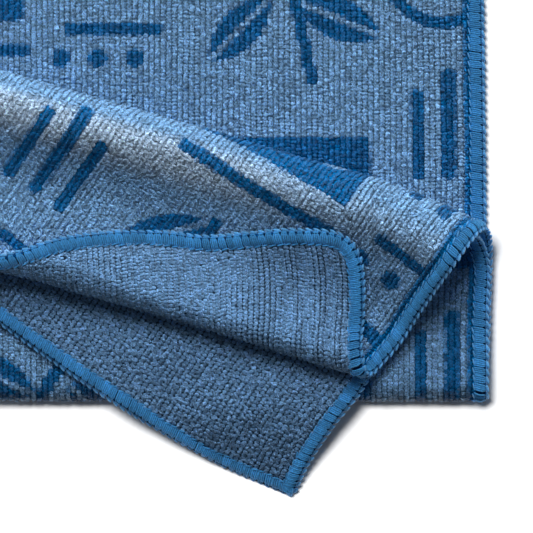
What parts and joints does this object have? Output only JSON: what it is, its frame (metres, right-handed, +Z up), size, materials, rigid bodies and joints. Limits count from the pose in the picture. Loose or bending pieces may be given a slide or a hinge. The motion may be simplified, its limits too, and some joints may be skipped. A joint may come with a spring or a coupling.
{
  "type": "microfibre cleaning cloth",
  "caption": "Square terry cleaning cloth folded into a flat layered strip, one corner turned over and its tip turned back, for wiping and dusting.",
  "frame": {"origin": "middle of the folded cloth's footprint, on the surface that it lies on", "axes": "+X along the folded strip, towards the end with the turned corner; +Y from the front fold to the back; +Z up"},
  "size_m": [0.4016, 0.1249, 0.0185],
  "materials": {
    "cloth": "matt blue microfibre terry, printed on one side, with an overlocked hem"
  },
  "bodies": {
    "root": {"cloth": "cloth"}
  },
  "joints": []
}
